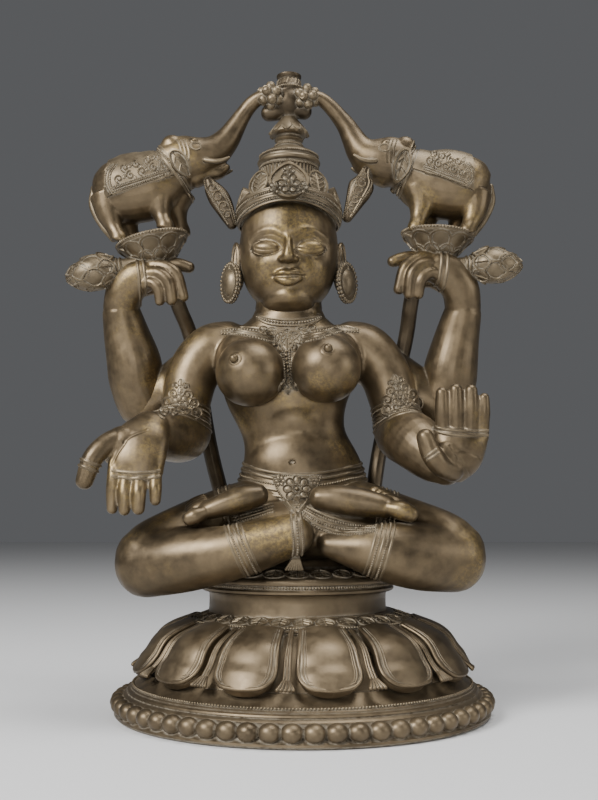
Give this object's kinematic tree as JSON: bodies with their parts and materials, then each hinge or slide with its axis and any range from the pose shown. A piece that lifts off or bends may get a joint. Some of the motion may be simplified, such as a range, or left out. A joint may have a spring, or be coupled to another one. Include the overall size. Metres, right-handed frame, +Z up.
{
  "type": "lakshmi figure",
  "caption": "Cast bronze figure of a cross-legged goddess with elephants raising their trunks over her crown, seated on a round lotus plinth.",
  "frame": {"origin": "the centre of the plinth's round underside, on the surface it stands on", "axes": "Z points up, Y points to the back, so the figure faces -Y, and X points to the right of someone looking at its face"},
  "size_m": [0.2491, 0.1988, 0.344],
  "materials": {
    "plinth_bronze": "satin",
    "figure_bronze": "satin"
  },
  "bodies": {
    "root": {"plinth": "plinth_bronze", "figure": "figure_bronze"}
  },
  "joints": []
}
